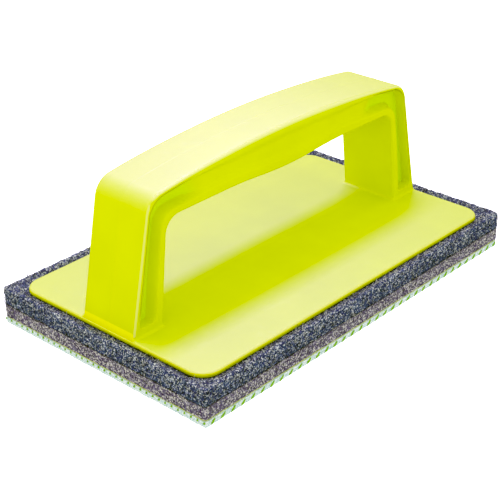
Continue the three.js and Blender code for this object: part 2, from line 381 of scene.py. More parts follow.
def section_columns(outer, inner):
    """Depth through the wall and distance from the middle, each (stations, columns),
    for half a section: outer face, round edge, recessed side, round edge, inner face."""
    wall = np.linalg.norm(inner - outer, axis=1)
    edge, places, depth, rise, shallow = recess_shape(outer, wall)
    side, side_y = recessed_side(places, depth, rise, shallow)
    beside_parting = np.array([0, 0.3 * MM, 0.45 * MM])
    outer_y = np.concatenate([
        np.tile(beside_parting, (len(wall), 1)),
        (HANDLE_HALF_WIDTH - edge)[:, None] * np.linspace(0.2, 1, 6)[:-1],
    ], axis=1)
    outer_v = np.where(outer_y < PARTING_REACH, -PARTING_LINE, 0.0)
    quarter = np.linspace(0, np.pi / 2, 9)
    arc_y = HANDLE_HALF_WIDTH - edge[:, None] * (1 - np.sin(quarter[:-1]))
    arc_v = edge[:, None] * (1 - np.cos(quarter[:-1]))
    back_y = HANDLE_HALF_WIDTH - INNER_EDGE_RADIUS * (1 - np.cos(quarter[1:]))
    back_v = wall[:, None] - INNER_EDGE_RADIUS * (1 - np.sin(quarter[1:]))
    inner_y = (HANDLE_HALF_WIDTH - INNER_EDGE_RADIUS) * np.linspace(0.8, 0, 5)
    inner_v = np.tile(wall[:, None], (1, len(inner_y)))
    through = np.concatenate([outer_v, arc_v, side, back_v, inner_v], axis=1)
    across = np.concatenate([
        outer_y, arc_y, side_y,
        np.tile(back_y, (len(wall), 1)), np.tile(inner_y, (len(wall), 1)),
    ], axis=1)
    return through, across, wall


def handle_rings(outer, inner):
    """Rings (stations, around, 3): the half section and its mirror image across Y."""
    through, across, wall = section_columns(outer, inner)
    height = outer[:, 1:2] + (inner - outer)[:, 1:2] * through / wall[:, None]
    above = np.clip(height - PLATE_THICKNESS, 0, FOOT_FILLET)
    flare = FOOT_FILLET - np.sqrt(FOOT_FILLET**2 - (FOOT_FILLET - above) ** 2)
    across = across + flare * ease(across / HANDLE_HALF_WIDTH)
    share = through / wall[:, None]
    inward = -np.sign(outer[:, 0:1]) * flare * ease(2 * share - 1)
    line = outer[:, None] + (inner - outer)[:, None] * share[..., None]
    line[..., 0] += inward
    whole = np.concatenate([line, line[:, -2:0:-1]], axis=1)
    whole_y = np.concatenate([across, -across[:, -2:0:-1]], axis=1)
    return np.stack([whole[..., 0], whole_y, whole[..., 1] + PLATE_BASE], -1)


handle = carried_rings("handle_bar", handle_rings(outer_line, inner_line))


# %% [markdown]
# ## The plate, and joining it to the handle
#
# The plate is a profile carried round a rounded rectangle: flat top, rounded upper
# edge, upright side, rim, and the shallow pocket that takes the hook tape. A bevelled
# cube would give the slab but not the pocket. A union then makes plate and handle the
# one moulding that they are. Weighted normals let the big flat faces stay flat where
# the foot's fillet runs into them.

# %% Rounded rectangles
def rounded_rectangle(half, radius, inset, corner_steps, side_steps=(1, 1)):
    """Points round a rectangle drawn in by inset. Each corner is an arc, and each side
    is divided into equal steps, so that every inset has the same number of points."""
    half = np.asarray(half) - inset
    radius = max(radius - inset, 0.3 * MM)
    points = []
    for quarter in range(4):
        side = np.array([[1, 1], [-1, 1], [-1, -1], [1, -1]][quarter])
        angles = (quarter + np.linspace(0, 1, corner_steps + 1)) * np.pi / 2
        points.append(arc(side * (half - radius), radius, angles))
    steps = list(side_steps) * 2
    out = []
    for quarter in range(4):
        out.append(points[quarter])
        start, end = points[quarter][-1], points[(quarter + 1) % 4][0]
        share = np.linspace(0, 1, steps[quarter] + 1)[1:-1, None]
        out.append(start + share * (end - start))
    return np.concatenate(out)


# %% The plate
PLATE_CORNER = 11 * MM
PLATE_EDGE = 1.4 * MM
POCKET_RIM, POCKET_DEPTH = 7 * MM, 0.8 * MM
LOWER_EDGE = 0.3 * MM
CORNER_STEPS, EDGE_STEPS = 16, 8
SMOOTH_BELOW = math.radians(38)


def outside_plate(points):
    """Distance outside the plate's rounded outline, negative inside it near the edge:
    the length of max(q, 0), less the corner radius, with q from the arc centres."""
    q = np.abs(points[..., :2]) - (PLATE_HALF - PLATE_CORNER)
    return np.linalg.norm(np.maximum(q, 0), axis=-1) - PLATE_CORNER


def plate_rings():
    """Rings from the pocket's floor out to the rim, up the side and onto the top."""
    turn = np.linspace(0, np.pi / 2, EDGE_STEPS + 1)
    profile = [(POCKET_RIM, POCKET_DEPTH), (POCKET_RIM, 0), (LOWER_EDGE, 0), (0, LOWER_EDGE)]
    profile += [
        (PLATE_EDGE * (1 - math.cos(a)), PLATE_THICKNESS - PLATE_EDGE * (1 - math.sin(a)))
        for a in turn
    ]
    rings = []
    for inset, height in profile:
        flat = rounded_rectangle(PLATE_HALF, PLATE_CORNER, inset, CORNER_STEPS)
        rings.append(np.column_stack([flat, np.full(len(flat), PLATE_BASE + height)]))
    return np.array(rings)


def apply_modifiers(piece):
    """Replaces the piece's mesh with what its modifiers make, and removes them."""
    graph = bpy.context.evaluated_depsgraph_get()
    mesh = bpy.data.meshes.new_from_object(piece.evaluated_get(graph))
    piece.modifiers.clear()
    piece.data = mesh
    return piece


def joined(piece, other):
    """The exact union of two closed pieces. The second one is used up."""
    union = piece.modifiers.new("union", "BOOLEAN")
    union.operation = "UNION"
    union.solver = "EXACT"
    union.object = other
    apply_modifiers(piece)
    bpy.data.objects.remove(other)
    return piece


holder = joined(carried_rings("lime_holder", plate_rings()), handle)
holder.data.shade_smooth()
holder.data.set_sharp_from_angle(angle=SMOOTH_BELOW)
weighted = holder.modifiers.new("weighted", "WEIGHTED_NORMAL")
weighted.keep_sharp = True
apply_modifiers(holder)


# %% [markdown]
# ## Marks for the finish
#
# Light is painted into the holder's colour in three places: a pale painted highlight along
# the rounded edges, a painted bright yellow light on the plate's upright edge, and a
# painted greener light on the floors of the deep recesses. A painted image could say where,
# but it needs a UV map and a file. Here each point gets a few numbers, worked out from its
# place and its normal, and the finish reads them.

# %% Marks on the holder
# Strength, crest and reach of the pale painted highlight on the arch's edges and the plate's
# edge.
ARCH_HIGHLIGHT, ARCH_CREST, ARCH_REACH = 1.6, 0.707, 0.28
PLATE_HIGHLIGHT, PLATE_CREST, PLATE_REACH = 0.7, 0.75, 0.24
# Reach of the painted light on the plate's upright edge, then the strength of the painted
# highlight on the parting line and where along the crown it lies.
EDGE_LIGHT_REACH, PARTING_HIGHLIGHT = 0.9, 0.7
PARTING_LOW, PARTING_RISE = 74 * MM, 8 * MM
PARTING_FROM, PARTING_RUN = 60 * MM, 30 * MM
HOLLOW_FROM, HOLLOW_OVER, HOLLOW_ABOVE = 2 * MM, 3 * MM, 2 * MM
FACES_SIDE = 0.6


def tent(value, middle, reach):
    """1 at the middle, falling straight to 0 at reach on both sides."""
    return np.maximum(1 - np.abs(value - middle) / reach, 0)


def store(mesh, name, values):
    """Keeps one number for each point, under a name that a material can read."""
    kept = mesh.attributes.new(name, "FLOAT", "POINT")
    kept.data.foreach_set("value", values.astype(np.float32))


def mark_holder(mesh):
    """Stores three marks of painted light at each point. The painted highlight is 1 on the
    crest of the arch's rounded edges, where the normal leans 45 degrees, and a little less
    on the plate's edge and on the parting line near the crown's ends. The painted edge light
    is 1 where the plate's edge is upright. Hollow, the painted greener recess light, is 1
    on the floor of a deep recess."""
    count = len(mesh.vertices)
    place, normal = np.empty(3 * count), np.empty(3 * count)
    mesh.vertices.foreach_get("co", place)
    mesh.vertex_normals.foreach_get("vector", normal)
    x, y, z = place.reshape(-1, 3).T
    ny, nz = np.abs(normal.reshape(-1, 3).T)[1:]
    height = z - PLATE_BASE
    over_plate = height - PLATE_THICKNESS
    below_crown = crown(x) - height
    inside_post = OUTER_FOOT - OUTER_LEAN * height - np.abs(x)
    outline = (np.minimum(below_crown, inside_post) < EDGE_RADIUS) * (over_plate > FOOT_FILLET)
    arch_edge = np.minimum(ARCH_HIGHLIGHT * tent(ny, ARCH_CREST, ARCH_REACH), 1) * outline
    at_rim = (outside_plate(place.reshape(-1, 3)) > -PLATE_EDGE) * (over_plate > -PLATE_EDGE)
    plate_edge = PLATE_HIGHLIGHT * tent(nz, PLATE_CREST, PLATE_REACH) * at_rim
    plate_edge *= over_plate < 0.1 * MM
    near_line = (np.abs(y) < PARTING_REACH) * ease((height - PARTING_LOW) / PARTING_RISE)
    parting = PARTING_HIGHLIGHT * near_line * ease((np.abs(x) - PARTING_FROM) / PARTING_RUN)
    # Pale painted highlight on the rounded edges, the plate's edge and the parting line.
    store(mesh, "wear", np.maximum(np.maximum(arch_edge, plate_edge), parting))
    # Painted bright yellow light on the plate's upright edge.
    store(mesh, "edge_glow", tent(nz, 0, EDGE_LIGHT_REACH) * at_rim)
    # Painted greener light on the floors of the deep recesses.
    deep = ease((HANDLE_HALF_WIDTH - np.abs(y) - HOLLOW_FROM) / HOLLOW_OVER)
    store(mesh, "hollow", deep * (ny > FACES_SIDE) * (over_plate > HOLLOW_ABOVE))


mark_holder(holder.data)
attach(holder, "holder")
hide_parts("holder_moulding")
print("holder", len(holder.data.polygons), "faces")


# %% [markdown]
# ## The pad's layers
#
# The pad is coarse fibre over grey foam over two plies of cloth. The fibre is lumpy,
# the foam is finely pitted, and the cloth is nubby. A subdivided cube could be pushed
# about in the same way, but its corners would be sharp. Each layer is a profile carried
# round the pad's outline instead, on a grid that is fine enough for noise to move its
# points. Rings run on over the top and under the bottom, because the pad's top shows
# when the holder is lifted off it. The coarse layer's nap is pressed down under the
# plate and stands up again around it.

# %% A layer on a fine grid
PAD_CORNER = 1.5 * MM
MIDDLE_STRIP = 0.8 * MM
FACE_STEP, FACE_GROWTH = 1.3, 1.25


def layer_rings(low, high, step, side_rings, edges):
    """Rings from the middle of the underside, over the side, to the middle of the top.
    The lower and upper edges are rounded, and the ring spacing on the faces grows
    inwards."""
    low_edge, high_edge = edges
    half = PAD_HALF
    deepest = half[1] - MIDDLE_STRIP
    face = deepest * np.linspace(1, 0, int(deepest / (FACE_STEP * step))) ** FACE_GROWTH
    turn = np.linspace(0, np.pi / 2, 5)[1:-1]
    profile = [(i, low) for i in face[face < deepest - low_edge] + low_edge]
    inward, upward = 1 - np.sin(turn), 1 - np.cos(turn)
    profile += list(zip(low_edge * inward, low + low_edge * upward))
    profile += [(0, z) for z in np.linspace(low + low_edge, high - high_edge, side_rings)]
    profile += list(zip(high_edge * upward, high - high_edge * inward))
    profile += [(i, high) for i in face[face < deepest - high_edge][::-1] + high_edge]
    steps = (int(2 * half[0] / step), int(2 * half[1] / step))
    rings = []
    for inset, z in profile:
        flat = rounded_rectangle(half, PAD_CORNER, inset, 4, steps)
        rings.append(np.column_stack([flat, np.full(len(flat), z)]))
    return np.array(rings)


def grid_normals(rings):
    """The outward direction at each grid point, from its neighbours on both axes."""
    around = np.roll(rings, -1, axis=1) - np.roll(rings, 1, axis=1)
    along = np.gradient(rings, axis=0)
    normal = np.cross(around, along)
    length = np.linalg.norm(normal, axis=-1, keepdims=True)
    return normal / np.maximum(length, 1e-12)


# %% The nap that stands up round the plate
NAP, NAP_START, NAP_RAMP, NAP_FADE = 2.6 * MM, 0.2 * MM, 5 * MM, 5 * MM


def nap_rise(points):
    """How far the nap stands up beyond the plate: NAP times an ease of the distance
    outside the plate. It fades out over NAP_FADE below the layer's top."""
    near_top = ease((points[..., 2] - COARSE_HIGH[2]) / NAP_FADE + 1)
    return NAP * ease((outside_plate(points) - NAP_START) / NAP_RAMP) * near_top


def pad_layer(name, low, high, step, side_rings, edges, bumps, settle, nap=False):
    """A layer whose points move along their normals by the sum of bumps, each
    (height, size, seed). It is drawn in by settle, so that the bumps stay inside."""
    rings = layer_rings(low, high, step, side_rings, edges)
    if nap:
        rings[..., 2] += nap_rise(rings)
    lift = np.full(rings.shape[:2], -settle)
    for height, size, seed in bumps:
        lift += height * noise(rings, size, seed)
    rings = rings + grid_normals(rings) * lift[..., None]
    return carried_rings(name, rings)


# %% Coarse fibre, foam and the two plies of cloth
coarse = pad_layer(
    "coarse_fibre", FOAM_HIGH[2], COARSE_HIGH[2], 1.1 * MM, 9, (0.15 * MM, 0.8 * MM),
    [(0.4 * MM, 1.4 * MM, 1), (0.2 * MM, 4 * MM, 2)], 0.35 * MM, nap=True,
)
foam = pad_layer(
    "grey_foam", FOAM_LOW[2], FOAM_HIGH[2], 0.9 * MM, 9, (0.35 * MM, 0.15 * MM),
    [(0.18 * MM, 1.2 * MM, 3), (0.12 * MM, 6 * MM, 4)], 0.3 * MM,
)
upper_ply = pad_layer(
    "upper_cloth", PLY_JOIN[2], CLOTH_HIGH[2], 1.2 * MM, 4, (0.5 * MM, 0.5 * MM),
    [(0.14 * MM, 1.6 * MM, 5)], 0.2 * MM,
)
lower_ply = pad_layer(
    "lower_cloth", CLOTH_LOW[2], PLY_JOIN[2] + 0.4 * MM, 1.2 * MM, 4, (0.6 * MM, 0.6 * MM),
    [(0.14 * MM, 1.6 * MM, 6)], 0.15 * MM,
)
for piece, node, slot, fill in (
    (coarse, "coarse_fibre_layer", "dark_fibre", 0.9),
    (foam, "grey_foam_layer", "grey_foam", 1),
    (upper_ply, "cloth_upper_ply", "white_cloth", 0.8),
    (lower_ply, "cloth_lower_ply", "white_cloth", 0.8),
):
    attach(piece, "pad")
    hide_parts(node)


# %% [markdown]
# ## Loose fibres
#
# A non-woven fibre pad has a fuzzy outline: short bits of fibre bow out of its faces.
# A hair system is the usual way, but hair isn't a mesh, and it would be lost when the
# part is exported. Here each fibre is a bent tube of three sides and a few steps, set on
# the pad's surface in a random direction. One array holds thousands of them.

# %% Bent fibres
def fibre_field(name, centres, normals, length, bow, radius, stand, seed):
    """Tubes that bow out of a surface: c + t d L/2 + n (b (1 - t2) - r), t from -1 to 1.
    The larger stand is, the more of them lean up from the surface by one end."""
    random = np.random.default_rng(seed)
    count = len(centres)
    spin = random.normal(size=(count, 3))
    along = np.cross(normals, spin)
    along /= np.linalg.norm(along, axis=1, keepdims=True)
    tip = random.normal(scale=stand, size=(count, 1)) * normals
    t = np.linspace(-1, 1, 5)[None, :, None]
    reach = (length * random.uniform(0.5, 1, (count, 1)))[:, None]
    lift = (bow * random.uniform(0.1, 1, (count, 1)) ** 1.5)[:, None]
    line = centres[:, None] + 0.5 * t * reach * (along + tip)[:, None]
    line = line + normals[:, None] * (lift * (1 - t * t) - radius)
    side = np.cross(along, normals)
    turns = np.arange(3) * 2 * np.pi / 3
    thick = radius * (1 - 0.5 * np.abs(t)) * random.uniform(0.6, 1, (count, 1, 1))
    ring = np.cos(turns)[:, None] * side[:, None] + np.sin(turns)[:, None] * normals[:, None]
    points = line[:, :, None] + thick[..., None] * ring[:, None]
    rings = points.shape[1]
    one = ring_faces(rings, 3)[:, ::-1]
    ends = np.array([[0, 1, 2], [3 * rings - 1, 3 * rings - 2, 3 * rings - 3]])
    shift = (np.arange(count) * 3 * rings)[:, None, None]
    faces = [(one[None] + shift).reshape(-1, 4), (ends[None] + shift).reshape(-1, 3)]
    piece = put_mesh(name, points.reshape(-1, 3), faces)
    store(piece.data, "tone", np.repeat(random.uniform(0, 1, count), 3 * rings))
    return piece


# %% Where the fibres stand
FIBRE_ROOT = 0.35 * MM
UNDER_PLATE_SHARE = 0.06


def top_places(count, seed):
    """Points on the coarse layer's top: all of them in the margin round the plate, and
    only a small share of them under the plate."""
    random = np.random.default_rng(seed)
    spots = random.uniform(-1, 1, (count, 2)) * (PAD_HALF - 0.5 * MM)
    margin = np.abs(spots) > PLATE_HALF + 1 * MM
    keep = margin.any(axis=1) | (random.uniform(size=count) < UNDER_PLATE_SHARE)
    spots = spots[keep]
    centres = np.column_stack([spots, np.full(len(spots), COARSE_HIGH[2])])
    centres[:, 2] += nap_rise(centres) - FIBRE_ROOT
    return centres, np.tile([0.0, 0, 1], (len(spots), 1))


def side_places(count, low, high, seed):
    """Points round the pad's four sides, between two heights."""
    random = np.random.default_rng(seed)
    perimeter = 4 * (PAD_HALF[0] + PAD_HALF[1])
    run = random.uniform(0, perimeter, count)
    long_run, short_run = 2 * PAD_HALF[0], 2 * PAD_HALF[1]
    part = np.searchsorted([long_run, long_run + short_run, 2 * long_run + short_run], run)
    begin = np.array([0, long_run, long_run + short_run, 2 * long_run + short_run])[part]
    normals = np.array([[0, -1, 0], [1, 0, 0], [0, 1, 0], [-1, 0, 0]], float)[part]
    tangent = np.array([[1, 0, 0], [0, 1, 0], [-1, 0, 0], [0, -1, 0]], float)[part]
    half_run = np.array([PAD_HALF[0], PAD_HALF[1]] * 2)[part]
    out = np.array([PAD_HALF[1], PAD_HALF[0]] * 2)[part] - FIBRE_ROOT
    centres = normals * out[:, None] + tangent * (run - begin - half_run)[:, None]
    centres[:, 2] = random.uniform(low, high, count)
    return centres, normals


top_centres, top_normals = top_places(count=36000, seed=11)
top_fuzz = fibre_field(
    "top_fibres", top_centres, top_normals,
    length=2.8 * MM, bow=0.8 * MM, radius=0.15 * MM, stand=0.9, seed=12,
)
side_centres, side_normals = side_places(
    count=7000, low=COARSE_LOW[2] + 0.4 * MM, high=COARSE_HIGH[2] + 1.8 * MM, seed=13
)
side_fuzz = fibre_field(
    "side_fibres", side_centres, side_normals,
    length=2.4 * MM, bow=0.6 * MM, radius=0.15 * MM, stand=0.5, seed=14,
)
for fuzz in (top_fuzz, side_fuzz):
    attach(fuzz, "pad")


# %% [markdown]
# ## Lime stitches
#
# Rows of lime yarn run along the pad and wind down through the cloth and up again. At
# the long edge the last row shows as a line of slanted dashes, and at the short edge
# the ends of the rows show as dots. A bevelled curve would do for one row. As arrays,
# every row is made at once: each is a round tube on a flattened helix.

# %% Stitched rows
ROW_PITCH = 4.2 * MM
STITCH_PITCH = 7.1 * MM
YARN_RADIUS = 0.65 * MM
STITCH_STEPS = 9
ROW_SWAY, EDGE_ROW_INSET = 0.75 * MM, 0.55 * MM
# The rows reach just past the pad's ends, and stay just inside its long sides.
ROWS_PAST_PAD = np.array([0.1, -0.3]) * MM


def stitch_rows():
    """Tubes (rows, points, around, 3) on helices: x = s, y = row + a cos, z = m + b sin."""
    reach = PAD_HALF + ROWS_PAST_PAD
    rows = np.arange(-int(reach[1] / ROW_PITCH), int(reach[1] / ROW_PITCH) + 1) * ROW_PITCH
    rows = rows * (reach[1] - EDGE_ROW_INSET) / rows.max()
    turns = int(2 * reach[0] / STITCH_PITCH)
    s = np.linspace(-reach[0], reach[0], turns * STITCH_STEPS + 1)
    phase = np.pi / 2 + 2 * np.pi * (s + reach[0]) / STITCH_PITCH
    outward = np.where(rows > 0, 1, -1)[:, None]
    middle = (CLOTH_LOW[2] + CLOTH_HIGH[2]) / 2
    swing = (CLOTH_HIGH[2] - CLOTH_LOW[2]) / 2 - YARN_RADIUS - 0.1 * MM
    y = rows[:, None] + outward * ROW_SWAY * np.cos(phase)
    z = np.tile(middle + swing * np.sin(phase), (len(rows), 1))
    line = np.stack([np.tile(s, (len(rows), 1)), y, z], -1)
    along = np.gradient(line, axis=1)
    along /= np.linalg.norm(along, axis=-1, keepdims=True)
    side = np.cross(along, [0, 0, 1.0])
    side /= np.linalg.norm(side, axis=-1, keepdims=True)
    over = np.cross(side, along)
    turn = np.arange(6) * np.pi / 3
    ring = np.cos(turn)[:, None] * side[..., None, :] + np.sin(turn)[:, None] * over[..., None, :]
    return line[:, :, None] + YARN_RADIUS * ring


def tubes(name, points):
    """Closed tubes from points (tubes, steps, around, 3)."""
    count, steps, around = points.shape[:3]
    shift = (np.arange(count) * steps * around)[:, None, None]
    walls = (ring_faces(steps, around)[None] + shift).reshape(-1, 4)
    first = np.arange(around)[None, None, ::-1] + shift
    last = (steps - 1) * around + np.arange(around)[None, None] + shift
    return put_mesh(
        name, points.reshape(-1, 3), [walls, first.reshape(-1, around), last.reshape(-1, around)]
    )


stitches = tubes("lime_stitches", stitch_rows())
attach(stitches, "pad")
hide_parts("lime_yarn_net")


# %% [markdown]
# ## Hook tape
#
# Under the plate, three strips of hook tape grip the fibre. Each strip is a thin woven
# band, and on it stand thousands of little bent hooks, all one shape set out in rows.
# Two Array modifiers could repeat one hook. A grid of offsets does the same, and it can
# turn every other hook round and shift every other row.

# %% Hooks on the tape
HOOK_PITCH = (2 * MM, 1.5 * MM)
HOOK_RADIUS = 0.11 * MM
HOOK_STEM, HOOK_CURL = 0.25 * MM, 0.22 * MM
TAPE_BAND, TAPE_CORNER, TAPE_MARGIN = 0.35 * MM, 4 * MM, 1.5 * MM


def hook_line():
    """One hook: a stem that goes down and curls back over at its tip."""
    angle = np.linspace(0, 1.25 * np.pi, 6)
    out = HOOK_CURL - HOOK_CURL * np.cos(angle)
    down = -HOOK_STEM - HOOK_CURL * np.sin(angle)
    return np.concatenate([[[0, 0.0]], np.stack([out, down], -1)])


def hook_field(name, node):
    """Hooks in staggered rows on the underside of a strip, every other one turned round."""
    low, high = (np.array(c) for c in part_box(node))
    xs = np.arange(low[0] + TAPE_MARGIN, high[0] - TAPE_MARGIN, HOOK_PITCH[0])
    ys = np.arange(low[1] + TAPE_MARGIN, high[1] - TAPE_MARGIN, HOOK_PITCH[1])
    gx, gy = np.meshgrid(xs, ys, indexing="ij")
    gx = gx + (np.arange(len(ys)) % 2) * HOOK_PITCH[0] / 2
    turn = np.where(np.arange(gx.size) % 2, 1.0, -1.0)
    line = hook_line()
    steps = len(line)
    along = np.gradient(line, axis=0)
    along /= np.linalg.norm(along, axis=1, keepdims=True)
    normal = np.stack([along[:, 1], -along[:, 0]], -1)
    angles = np.arange(4) * np.pi / 2
    flat = line[:, None] + HOOK_RADIUS * np.cos(angles)[None, :, None] * normal[:, None]
    depth = HOOK_RADIUS * np.sin(angles)[None] * np.ones((steps, 1))
    root = high[2] - TAPE_BAND
    x = gx.ravel()[:, None, None] + turn[:, None, None] * flat[None, ..., 0]
    y = gy.ravel()[:, None, None] + turn[:, None, None] * depth[None]
    z = np.broadcast_to(root + flat[None, ..., 1], x.shape)
    points = np.stack([x, y, z], -1)
    return tubes(name, points)


def tape_band(name, node):
    """The strip itself: a thin slab with round corners."""
    low, high = (np.array(c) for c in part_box(node))
    half = (high - low)[:2] / 2
    rings = []
    for inset, z in (
        (2 * MM, high[2] - TAPE_BAND), (0, high[2] - TAPE_BAND), (0, high[2]), (2 * MM, high[2]),
    ):
        flat = rounded_rectangle(half, TAPE_CORNER, inset, 6) + (low + high)[:2] / 2
        rings.append(np.column_stack([flat, np.full(len(flat), z)]))
    return carried_rings(name, np.array(rings))


for place in ("left", "centre", "right"):
    band = tape_band("tape_band_" + place, "hook_tape_" + place)
    hooks = hook_field("tape_hooks_" + place, "hook_tape_" + place)
    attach(band, "holder")
    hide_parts("hook_tape_" + place)
    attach(hooks, "holder")


# %% [markdown]
# ## Shader maths as Python
#
# Writing node trees by hand hides the idea behind them. This class wraps a node's
# output, so that an expression such as 1 - mask adds the Math nodes it needs. A second
# class holds one material, and one method of it adds every other kind of node.

# %% A socket that can be calculated with
class Value:
    """A node's output, with arithmetic that adds Math nodes."""

    def __init__(self, finish, socket):
        self.finish = finish
        self.socket = socket

    def maths(self, operation, *others):
        """One Math node that works on this value and the others."""
        inputs = {i: v for i, v in enumerate((self,) + others)}
        return self.finish.node("ShaderNodeMath", {"operation": operation}, inputs)

    def __add__(self, other):
        return self.maths("ADD", other)

    def __sub__(self, other):
        return self.maths("SUBTRACT", other)

    def __rsub__(self, other):
        return (self * -1) + other

    def __mul__(self, other):
        return self.maths("MULTIPLY", other)

    __radd__ = __add__
    __rmul__ = __mul__


class Finish:
    """A material with one Principled shader, and helpers that add nodes to it."""

    def __init__(self, name, **constants):
        self.material = bpy.data.materials.new(name)
        self.material.use_nodes = True
        self.tree = self.material.node_tree
        self.shader = self.tree.nodes["Principled BSDF"]
        for socket, value in constants.items():
            self.shader.inputs[socket.replace("_", " ")].default_value = value
        self.place = self.node("ShaderNodeTexCoord", {}, {}, "Object")

    def node(self, kind, settings, inputs, output=0):
        """Adds a node, sets it up, fills its sockets, and returns one output."""
        made = self.tree.nodes.new(kind)
        for key, value in settings.items():
            if key == "stops":
                set_stops(made.color_ramp, value)
            else:
                setattr(made, key, value)
        for key, value in inputs.items():
            if isinstance(value, Value):
                self.tree.links.new(value.socket, made.inputs[key])
            else:
                made.inputs[key].default_value = value
        return Value(self, made.outputs[output])

    def set(self, socket, value):
        """Links a value to one of the shader's own sockets."""
        self.tree.links.new(value.socket, self.shader.inputs[socket])

    def speckle(self, size, detail=2, roughness=0.5):
        """Noise from 0 to 1, with blobs of about the given size in metres."""
        inputs = {"Vector": self.place, "Scale": 1 / size, "Detail": detail}
        inputs["Roughness"] = roughness
        return self.node("ShaderNodeTexNoise", {}, inputs, "Fac")

    def cells(self, size):
        """Distance from the nearest of many random points, about size metres apart."""
        inputs = {"Vector": self.place, "Scale": 1 / size}
        return self.node("ShaderNodeTexVoronoi", {}, inputs, "Distance")

    def salt(self, size):
        """Two random numbers from 0 to 1 for each cell of the given size in metres."""
        inputs = {"Vector": self.place, "Scale": 1 / size}
        colour = self.node("ShaderNodeTexVoronoi", {}, inputs, "Color")
        split = self.node("ShaderNodeSeparateColor", {}, {"Color": colour}, "Red")
        return split, Value(self, split.socket.node.outputs["Green"])

    def attribute(self, name):
        """A number that was stored on the piece's points."""
        return self.node("ShaderNodeAttribute", {"attribute_name": name}, {}, "Fac")

    def ramp(self, value, stops):
        """The colour that lies at a value's place among the stops."""
        return self.node("ShaderNodeValToRGB", {"stops": stops}, {"Fac": value}, "Color")

    def range(self, value, low, high, to_low=0.0, to_high=1.0):
        """Carries low..high onto to_low..to_high, held at both ends."""
        inputs = {"Value": value, 1: low, 2: high, 3: to_low, 4: to_high}
        return self.node("ShaderNodeMapRange", {}, inputs, "Result")

    def mix(self, share, first, second):
        """The first colour where share is 0, the second where it is 1. A Mix node keeps
        its colours on sockets 6 and 7, and its colour result on output 2."""
        inputs = {0: share, 6: first, 7: second}
        return self.node("ShaderNodeMix", {"data_type": "RGBA"}, inputs, 2)

    def bump(self, height, distance, strength=1.0):
        """Tilts the normals as if the height, times the distance, were real."""
        inputs = {"Height": height, "Distance": distance, "Strength": strength}
        self.set("Normal", self.node("ShaderNodeBump", {}, inputs, "Normal"))

    def dress(self, *pieces):
        """Gives the pieces this material and no other."""
        for piece in pieces:
            piece.data.materials.clear()
            piece.data.materials.append(self.material)
        print(self.material.name, "on", [p.name for p in pieces])


def set_stops(ramp, stops):
    """Sets a ramp's stops, each (position, colour)."""
    while len(ramp.elements) < len(stops):
        ramp.elements.new(0.5)
    for element, (position, colour) in zip(ramp.elements, stops):
        element.position = position
        element.color = colour


def screen(red, green, blue):
    """A linear colour from red, green and blue as they look on a screen, 0 to 255."""
    shares = np.array([red, green, blue]) / 255
    linear = np.where(shares <= 0.04045, shares / 12.92, ((shares + 0.055) / 1.055) ** 2.4)
    return (*linear.tolist(), 1.0)


# %% [markdown]
# ## Lime plastic
#
# The holder is moulded in one satin plastic. It has a fine even grain from the mould,
# faint lines drawn along it, a trace of flow marks in its colour, and a few rubbed
# places that shine a little more. The marks stored on the mesh paint light into the
# colour: a pale painted highlight on the rounded edges, a painted greener light on the
# thin web in the recesses, and a painted bright yellow light on the plate's upright edge.

# %% Lime plastic
# How much of the pale painted highlight colour the edges take.
HIGHLIGHT_SHARE = 0.38
DRAWN_STRETCH = (0.02, 1, 1)


def lime_plastic():
    """Lime, with flow marks, fine grain, drawn lines and rubbed spots, and with the painted
    highlight, painted edge light and painted recess light from the marks.
    """
    finish = Finish("lime_plastic", Specular_IOR_Level=0.22)
    flow = finish.speckle(30 * MM, 3)
    tone = finish.ramp(flow, [(0.35, screen(213, 225, 0)), (0.65, screen(217, 229, 0))])
    grain = finish.speckle(0.6 * MM, 2, 0.7)
    stretch = {0: finish.place, 1: DRAWN_STRETCH}
    along = finish.node("ShaderNodeVectorMath", {"operation": "MULTIPLY"}, stretch, "Vector")
    lines = {"Vector": along, "Scale": 1 / (0.8 * MM)}
    drawn = finish.node("ShaderNodeTexNoise", {}, lines, "Fac")
    rubbed = finish.range(finish.speckle(14 * MM, 4, 0.65), 0.58, 0.72)
    # Painted light: the recess floors are painted a greener lime.
    tone = finish.mix(finish.attribute("hollow"), tone, screen(212, 236, 0))
    # Painted light: the plate's upright edge is painted bright yellow.
    tone = finish.mix(finish.attribute("edge_glow"), tone, screen(255, 255, 0))
    # Painted highlight: the edges are painted pale where light would catch them.
    wear = finish.attribute("wear") * HIGHLIGHT_SHARE
    finish.set("Base Color", finish.mix(wear, tone, screen(246, 244, 190)))
    finish.set("Roughness", finish.range(grain, 0.3, 0.7, 0.66, 0.74) - rubbed * 0.06)
    finish.bump(grain + drawn * 0.5, 0.09 * MM, 0.8)
    return finish


lime_plastic().dress(holder)


# %% [markdown]
# ## The pad's finishes
#
# The coarse layer is a tangle of dark and pale bits, so its colour jumps from point to
# point, and it is a little paler towards the top. Noise alone makes soft clouds,
# so the bits are the cells of a Voronoi texture, each with a random shade. The foam is
# the same idea, lighter and finer. The cloth is white with a faint painted shade in its hollows.

# %% Fibre and foam
CELL_SHARE, TINT_SHARE = 0.75, 0.22
HEIGHT_LIFT = 0.06


def salt_and_pepper(finish, mixed, hue, stops, tint, depth):
    """Colours the random cells from dark to pale, and tints each one a little."""
    tone = finish.mix(TINT_SHARE, finish.ramp(mixed, stops), finish.ramp(hue, tint))
    finish.set("Base Color", tone)
    finish.bump(mixed, depth)
    return finish


